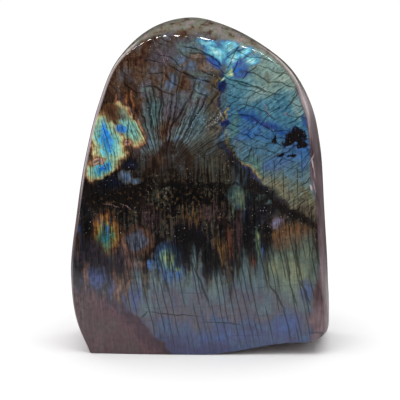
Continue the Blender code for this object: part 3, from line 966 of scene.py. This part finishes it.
# The gloss: the polish is brightest on the upper face, and softer on the lower face,
# on the sides and where a crack has parted.
POLISH_HEIGHTS = (95.0, 45.0)
UPPER_ROUGHNESS = 0.045
LOWER_ROUGHNESS = 0.09
SIDE_ROUGHNESS = 0.3
CRACK_ROUGHNESS = 0.1
STONE_IOR = 1.5
shader = polish.node_tree.nodes["Principled BSDF"]
Wire.tree.links.new(skin.socket, shader.inputs["Base Color"])
sideways = Wire.math("ABSOLUTE", along(outward, X_AXIS)).ease(0.8, 0.97, SIDE_ROUGHNESS)
roughness = UPPER_ROUGHNESS + z.ease(*POLISH_HEIGHTS, LOWER_ROUGHNESS) + sideways
roughness = roughness + CRACK_ROUGHNESS * parted * facing
Wire.tree.links.new(roughness.socket, shader.inputs["Roughness"])
shader.inputs["IOR"].default_value = STONE_IOR
stone.data.materials.append(polish)

# The floor: a plain pale sheet that the stone stands on. It ends close in front and
# behind, so that the polish shows little of its edges.
FLOOR_SIZE = (1.0, 0.49)
FLOOR_MIDDLE_Y = -0.115
FLOOR_WHITE = (0.9, 0.9, 0.9, 1.0)
FLOOR_ROUGHNESS = 0.9
bm = bmesh.new()
bmesh.ops.create_grid(bm, x_segments=1, y_segments=1, size=0.5)
bmesh.ops.scale(bm, verts=bm.verts, vec=(*FLOOR_SIZE, 1.0))
bmesh.ops.translate(bm, verts=bm.verts, vec=(0.0, FLOOR_MIDDLE_Y, 0.0))
floor_mesh = bpy.data.meshes.new("floor")
bm.to_mesh(floor_mesh)
bm.free()
floor = bpy.data.objects.new("floor", floor_mesh)
bpy.context.scene.collection.objects.link(floor)
floor_paint = bpy.data.materials.new("pale_floor")
floor_paint.use_nodes = True
floor_shader = floor_paint.node_tree.nodes["Principled BSDF"]
floor_shader.inputs["Base Color"].default_value = FLOOR_WHITE
floor_shader.inputs["Roughness"].default_value = FLOOR_ROUGHNESS
floor_mesh.materials.append(floor_paint)

# The light: soft boxes light the stone from the front and above. Its polish shows
# a row of small lamps high in front, and a pale wall at each side.
STONE_MIDDLE = (0.0, 0.0, 0.06)
WALL_TARGET = (0.0, 0.0, 0.1)
WALL_TINT = (1.0, 0.88, 0.91)
LAMPS = 13
LAMP_GAP = 0.09
LAMP_Y = -0.45
LAMP_Z = 0.75
LAMP_TARGET_Z = 0.15
LAMP_WIDTH = 0.02
LAMP_HEIGHT = 0.13
LAMP_GLOW = 90.0


def aim(thing, target):
    """Points a light or the camera at a place."""
    thing.rotation_euler = (Vector(target) - thing.location).to_track_quat("-Z", "Y").to_euler()


def soft_box(name, place, target, width, height, glow, colour=(1.0, 1.0, 1.0), mirrored=False):
    """An area light of a size in metres and a brightness, either for light or for gloss."""
    light = bpy.data.lights.new(name, "AREA")
    light.shape = "RECTANGLE"
    light.size = width
    light.size_y = height
    light.energy = glow * math.pi * width * height
    light.color = colour
    box = bpy.data.objects.new(name, light)
    box.location = place
    box.visible_camera = False
    box.visible_glossy = mirrored
    box.visible_diffuse = not mirrored
    aim(box, target)
    bpy.context.scene.collection.objects.link(box)


soft_box("key", (-0.55, -0.75, 0.85), STONE_MIDDLE, 0.7, 0.7, 0.95)
soft_box("fill", (0.75, -0.70, 0.55), STONE_MIDDLE, 0.6, 0.6, 0.95)
soft_box("overhead", (0.0, 0.0, 1.3), (0.0, 0.0, 0.0), 1.8, 1.6, 2.05)
soft_box("left_wall", (-0.75, 0.10, 0.45), WALL_TARGET, 1.3, 0.8, 3.6, WALL_TINT, True)
soft_box("right_wall", (0.60, 0.55, 0.36), WALL_TARGET, 0.7, 0.5, 1.6, WALL_TINT, True)
for number in range(LAMPS):
    across = LAMP_GAP * (number - (LAMPS - 1) / 2)
    soft_box(
        f"lamp_{number}",
        (across, LAMP_Y, LAMP_Z),
        (across, 0.0, LAMP_TARGET_Z),
        LAMP_WIDTH,
        LAMP_HEIGHT,
        LAMP_GLOW,
        mirrored=True,
    )

# The room's own light is pale where the camera looks past the floor, and dim in
# the stone's polish.
ROOM_GLOW = 0.48
MORE_BEHIND = 0.57
LESS_IN_POLISH = 0.39
world = bpy.data.worlds.new("room")
world.use_nodes = True
bpy.context.scene.world = world
Wire.tree = world.node_tree
seen_directly = Wire.node("ShaderNodeLightPath", {}, {}, "Is Camera Ray")
seen_in_polish = Wire.node("ShaderNodeLightPath", {}, {}, "Is Glossy Ray")
glow = ROOM_GLOW + MORE_BEHIND * seen_directly - LESS_IN_POLISH * seen_in_polish
background = world.node_tree.nodes["Background"]
Wire.tree.links.new(glow.socket, background.inputs["Strength"])
background.inputs["Color"].default_value = (1.0, 1.0, 1.0, 1.0)
bpy.context.scene.view_settings.view_transform = "Standard"

# The camera: straight in front of the stone and a little above it, as in the photo,
# with a long lens.
EYE_ELEVATION = math.radians(9.0)
EYE_DISTANCE = 0.600
EYE_MIDDLE = Vector((0.0, 0.0, 0.0792))
EYE_TARGET = (-0.0015, 0.0, 0.0695)
EYE_DIRECTION = Vector((0.0, -math.cos(EYE_ELEVATION), math.sin(EYE_ELEVATION)))
LENS = 110.4
SENSOR_WIDTH = 36.0
camera = bpy.data.objects.new("camera", bpy.data.cameras.new("camera"))
camera.data.lens = LENS
camera.data.sensor_width = SENSOR_WIDTH
camera.location = EYE_MIDDLE + EYE_DISTANCE * EYE_DIRECTION
aim(camera, EYE_TARGET)
bpy.context.scene.collection.objects.link(camera)
bpy.context.scene.camera = camera
